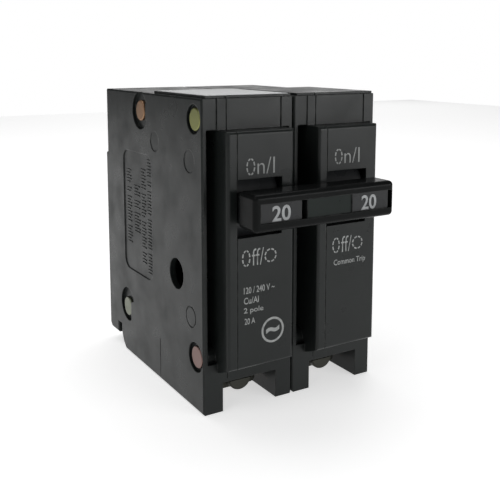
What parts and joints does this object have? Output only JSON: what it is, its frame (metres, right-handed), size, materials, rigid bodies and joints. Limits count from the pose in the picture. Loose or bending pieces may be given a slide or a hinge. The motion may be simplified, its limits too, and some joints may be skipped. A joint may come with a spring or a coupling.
{
  "type": "circuit breaker",
  "caption": "Plug-in circuit breaker with side-by-side riveted poles, a tie bar over rocking handles, switch mechanisms and screw terminals.",
  "frame": {"origin": "centre of the bounding box's bottom, on the plane of the legs' ends", "axes": "+X across the poles to the right as seen from the front, +Y from the handles to the back, +Z from the load end up to the line end"},
  "size_m": [0.0508, 0.0768, 0.077],
  "materials": {
    "case_plastic": "satin moulded thermoset, black",
    "handle_plastic": "satin black",
    "tie_plastic": "semi-gloss black",
    "trip_plastic": "dark brown moulded bar",
    "rivet_copper": "copper-plated steel rivet heads, slightly dulled",
    "label": "glossy white paper label with grey bars",
    "copper": "bare copper",
    "silver": "silver alloy contact",
    "steel": "plated steel",
    "zinc_steel": "zinc-chromate steel, dulled",
    "fibre": "vulcanised fibre",
    "bimetal": "bimetal strip",
    "brass": "brass screw"
  },
  "bodies": {
    "case": {"case_base_left": "case_plastic", "case_base_right": "case_plastic", "case_cover_left": "case_plastic", "case_cover_right": "case_plastic", "fixed_contact_left": "silver", "fixed_contact_right": "silver", "arm_pin_left": "steel", "arm_pin_right": "steel", "line_strap_left": "copper", "line_strap_right": "copper", "line_jaw_left": "copper", "line_jaw_right": "copper", "jaw_spring_left": "steel", "jaw_spring_right": "steel", "arc_plates_left": "steel", "arc_plates_right": "steel", "arc_plate_holder_left": "fibre", "arc_plate_holder_right": "fibre", "cradle_pin_left": "steel", "cradle_pin_right": "steel", "toggle_spring_left": "steel", "toggle_spring_right": "steel", "bimetal_left": "bimetal", "bimetal_right": "bimetal", "magnet_yoke_left": "steel", "magnet_yoke_right": "steel", "calibration_screw_left": "brass", "calibration_screw_right": "brass", "braid_left": "copper", "braid_right": "copper", "load_strap_left": "copper", "load_strap_right": "copper", "rivets": "rivet_copper", "top_label": "label"},
    "handles": {"handle_left": "handle_plastic", "handle_right": "handle_plastic", "handle_tie": "tie_plastic"},
    "trip_bar": {"trip_bar": "trip_plastic"},
    "contact_arm_left": {"contact_arm_left": "copper", "moving_contact_left": "silver"},
    "cradle_left": {"cradle_left": "steel"},
    "armature_left": {"armature_left": "steel"},
    "clamp_left": {"wire_clamp_left": "zinc_steel"},
    "screw_left": {"terminal_screw_left": "zinc_steel"},
    "contact_arm_right": {"contact_arm_right": "copper", "moving_contact_right": "silver"},
    "cradle_right": {"cradle_right": "steel"},
    "armature_right": {"armature_right": "steel"},
    "clamp_right": {"wire_clamp_right": "zinc_steel"},
    "screw_right": {"terminal_screw_right": "zinc_steel"}
  },
  "joints": [
    {"name": "handle_rock", "type": "hinge", "parent": "case", "child": "handles", "pos_m": [0, -0.01615, 0.0508], "axis": [-1, 0, 0], "range_deg": [-14, 14]},
    {"name": "contact_arm_left_swing", "type": "hinge", "parent": "case", "child": "contact_arm_left", "pos_m": [-0.0126, -0.00615, 0.046], "axis": [1, 0, 0], "range_deg": [-14, 14], "deforming": ["toggle_spring_left", "braid_left"]},
    {"name": "cradle_left_swing", "type": "hinge", "parent": "case", "child": "cradle_left", "pos_m": [-0.0092, 0.00035, 0.031], "axis": [1, 0, 0], "range_deg": [0, 26], "deforming": ["toggle_spring_left"]},
    {"name": "armature_left_pull", "type": "hinge", "parent": "case", "child": "armature_left", "pos_m": [-0.0126, 0.01355, 0.0206], "axis": [-1, 0, 0], "range_deg": [0, 5], "stiffness_Nm_per_rad": 0.02, "springref_deg": -5.73},
    {"name": "clamp_left_slide", "type": "slide", "parent": "case", "child": "clamp_left", "axis": [0, 1, 0], "range_m": [0, 0.00238]},
    {"name": "screw_left_turn", "type": "hinge", "parent": "clamp_left", "child": "screw_left", "pos_m": [-0.0125, -0.01905, 0.0052], "axis": [0, 1, 0], "range_deg": [0, 1080]},
    {"name": "contact_arm_right_swing", "type": "hinge", "parent": "case", "child": "contact_arm_right", "pos_m": [0.01295, -0.00615, 0.046], "axis": [1, 0, 0], "range_deg": [-14, 14], "deforming": ["toggle_spring_right", "braid_right"]},
    {"name": "cradle_right_swing", "type": "hinge", "parent": "case", "child": "cradle_right", "pos_m": [0.01635, 0.00035, 0.031], "axis": [1, 0, 0], "range_deg": [0, 26], "deforming": ["toggle_spring_right"]},
    {"name": "armature_right_pull", "type": "hinge", "parent": "case", "child": "armature_right", "pos_m": [0.01295, 0.01355, 0.0206], "axis": [-1, 0, 0], "range_deg": [0, 5], "stiffness_Nm_per_rad": 0.02, "springref_deg": -5.73},
    {"name": "clamp_right_slide", "type": "slide", "parent": "case", "child": "clamp_right", "axis": [0, 1, 0], "range_m": [0, 0.00238]},
    {"name": "screw_right_turn", "type": "hinge", "parent": "clamp_right", "child": "screw_right", "pos_m": [0.01305, -0.01905, 0.0052], "axis": [0, 1, 0], "range_deg": [0, 1080]},
    {"name": "trip_bar_turn", "type": "hinge", "parent": "case", "child": "trip_bar", "pos_m": [0, -0.00945, 0.0319], "axis": [1, 0, 0], "range_deg": [0, 13]}
  ],
  "couplings": [
    {"joint": "contact_arm_left_swing", "follows": "handle_rock", "ratio": 1},
    {"joint": "screw_left_turn", "follows": "clamp_left_slide", "rad_per_m": 7915.8},
    {"joint": "contact_arm_right_swing", "follows": "handle_rock", "ratio": 1},
    {"joint": "screw_right_turn", "follows": "clamp_right_slide", "rad_per_m": 7915.8},
    {"joint": "cradle_right_swing", "follows": "cradle_left_swing", "ratio": 1},
    {"joint": "trip_bar_turn", "follows": "cradle_left_swing", "ratio": 0.5}
  ]
}
